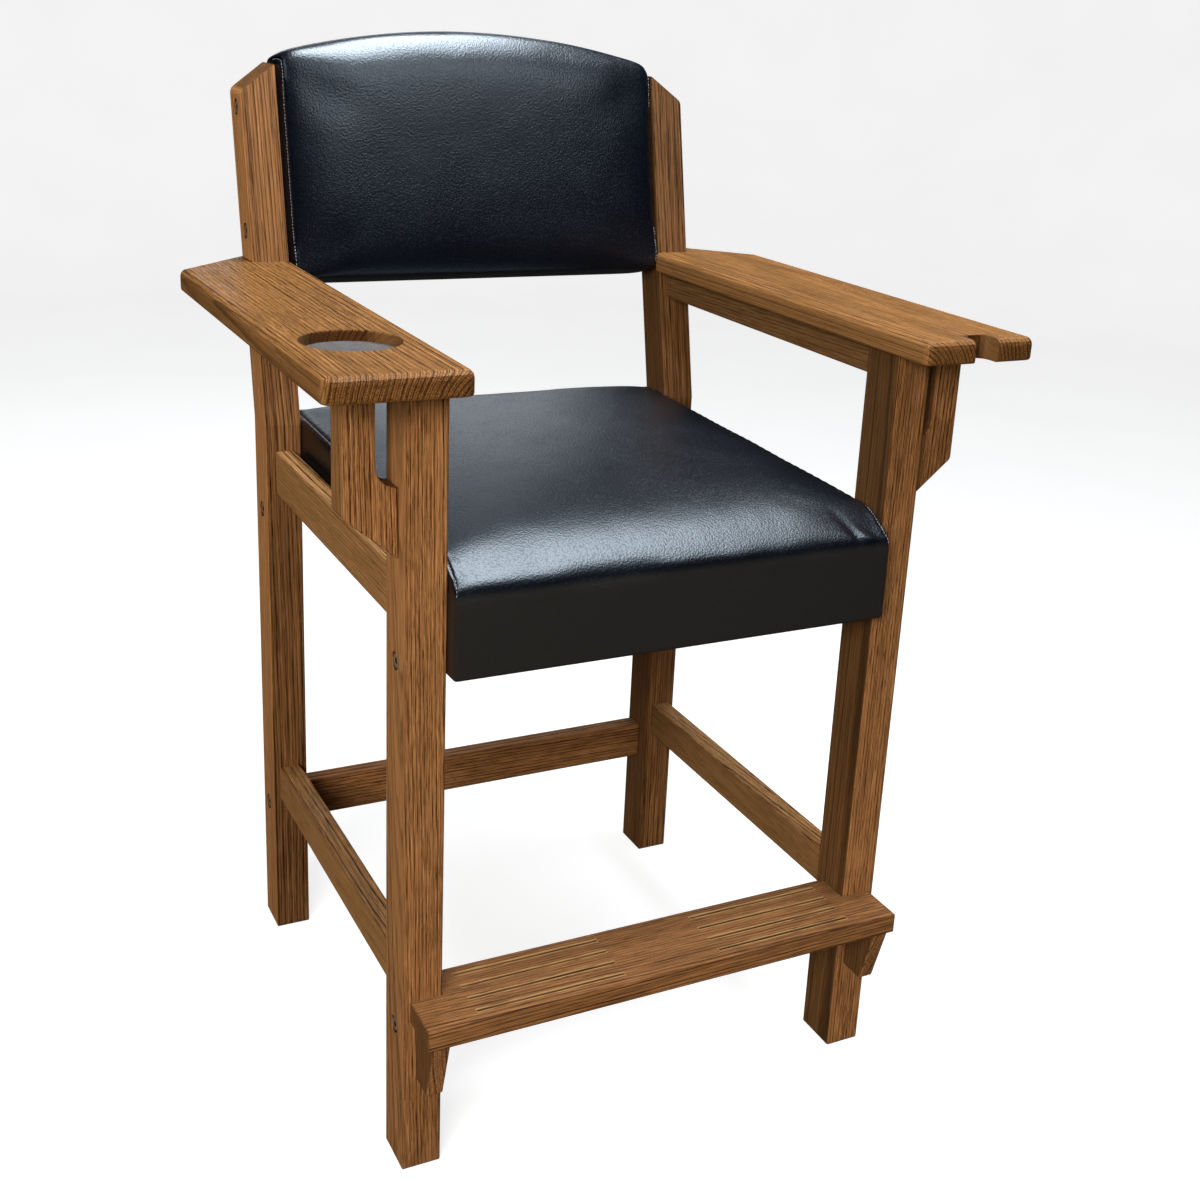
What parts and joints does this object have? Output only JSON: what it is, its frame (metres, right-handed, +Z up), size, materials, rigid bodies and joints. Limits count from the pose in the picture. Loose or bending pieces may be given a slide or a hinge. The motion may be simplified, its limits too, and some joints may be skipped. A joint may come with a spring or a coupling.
{
  "type": "billiard spectator chair",
  "caption": "Tall wooden spectator chair with wide armrests, a cup recess, a cue notch, slotted arm brackets, a grooved footboard and an upholstered seat and back.",
  "frame": {"origin": "on the floor, under the middle of the chair's bounding box", "axes": "+Z up, -Y towards the front where the footboard is, +X towards the sitter's left hand, the right of the picture"},
  "size_m": [0.798, 0.7363, 1.1971],
  "materials": {
    "stained_oak": "medium brown stained oak, satin lacquer",
    "armrest_oak": "golden brown stained oak, satin lacquer, worn lighter",
    "plywood": "bare plywood, hidden inside the upholstery",
    "black_vinyl": "black pebble-grain vinyl over foam, soft sheen",
    "dust_cloth": "black woven dust cloth",
    "grey_pad": "matt mauve-grey felt pad",
    "bronzed_steel": "dark bronzed steel",
    "zinc_steel": "zinc plated steel"
  },
  "bodies": {
    "root": {"arm_bracket_left": "stained_oak", "arm_bracket_right": "stained_oak", "arm_rail_left": "stained_oak", "arm_rail_right": "stained_oak", "arm_screw_front_left": "zinc_steel", "arm_screw_front_right": "zinc_steel", "arm_screw_rear_left": "zinc_steel", "arm_screw_rear_right": "zinc_steel", "armrest_left": "armrest_oak", "armrest_right": "armrest_oak", "back_board": "plywood", "back_cushion": "black_vinyl", "back_lower_bolt_left": "bronzed_steel", "back_lower_bolt_right": "bronzed_steel", "back_lower_nut_left": "zinc_steel", "back_lower_nut_right": "zinc_steel", "back_rear_pad": "black_vinyl", "back_upper_bolt_left": "bronzed_steel", "back_upper_bolt_right": "bronzed_steel", "back_upper_nut_left": "zinc_steel", "back_upper_nut_right": "zinc_steel", "cup_pad": "grey_pad", "foot_bracket_left": "stained_oak", "foot_bracket_right": "stained_oak", "footboard": "stained_oak", "front_leg_left": "stained_oak", "front_leg_right": "stained_oak", "front_stretcher": "stained_oak", "front_stretcher_bolt_left": "bronzed_steel", "front_stretcher_bolt_right": "bronzed_steel", "front_stretcher_nut_left": "zinc_steel", "front_stretcher_nut_right": "zinc_steel", "lower_rail_left": "stained_oak", "lower_rail_right": "stained_oak", "rear_post_left": "stained_oak", "rear_post_right": "stained_oak", "rear_stretcher": "stained_oak", "rear_stretcher_bolt_left": "bronzed_steel", "rear_stretcher_bolt_right": "bronzed_steel", "rear_stretcher_nut_left": "zinc_steel", "rear_stretcher_nut_right": "zinc_steel", "seat_cushion": "black_vinyl", "seat_deck": "plywood", "seat_dust_cover": "dust_cloth", "seat_end_rail_left": "plywood", "seat_end_rail_right": "plywood", "seat_front_bolt_left": "bronzed_steel", "seat_front_bolt_right": "bronzed_steel", "seat_front_nut_left": "zinc_steel", "seat_front_nut_right": "zinc_steel", "seat_front_rail": "plywood", "seat_rail_left": "stained_oak", "seat_rail_right": "stained_oak", "seat_rear_bolt_left": "bronzed_steel", "seat_rear_bolt_right": "bronzed_steel", "seat_rear_nut_left": "zinc_steel", "seat_rear_nut_right": "zinc_steel", "seat_rear_rail": "plywood"}
  },
  "joints": []
}
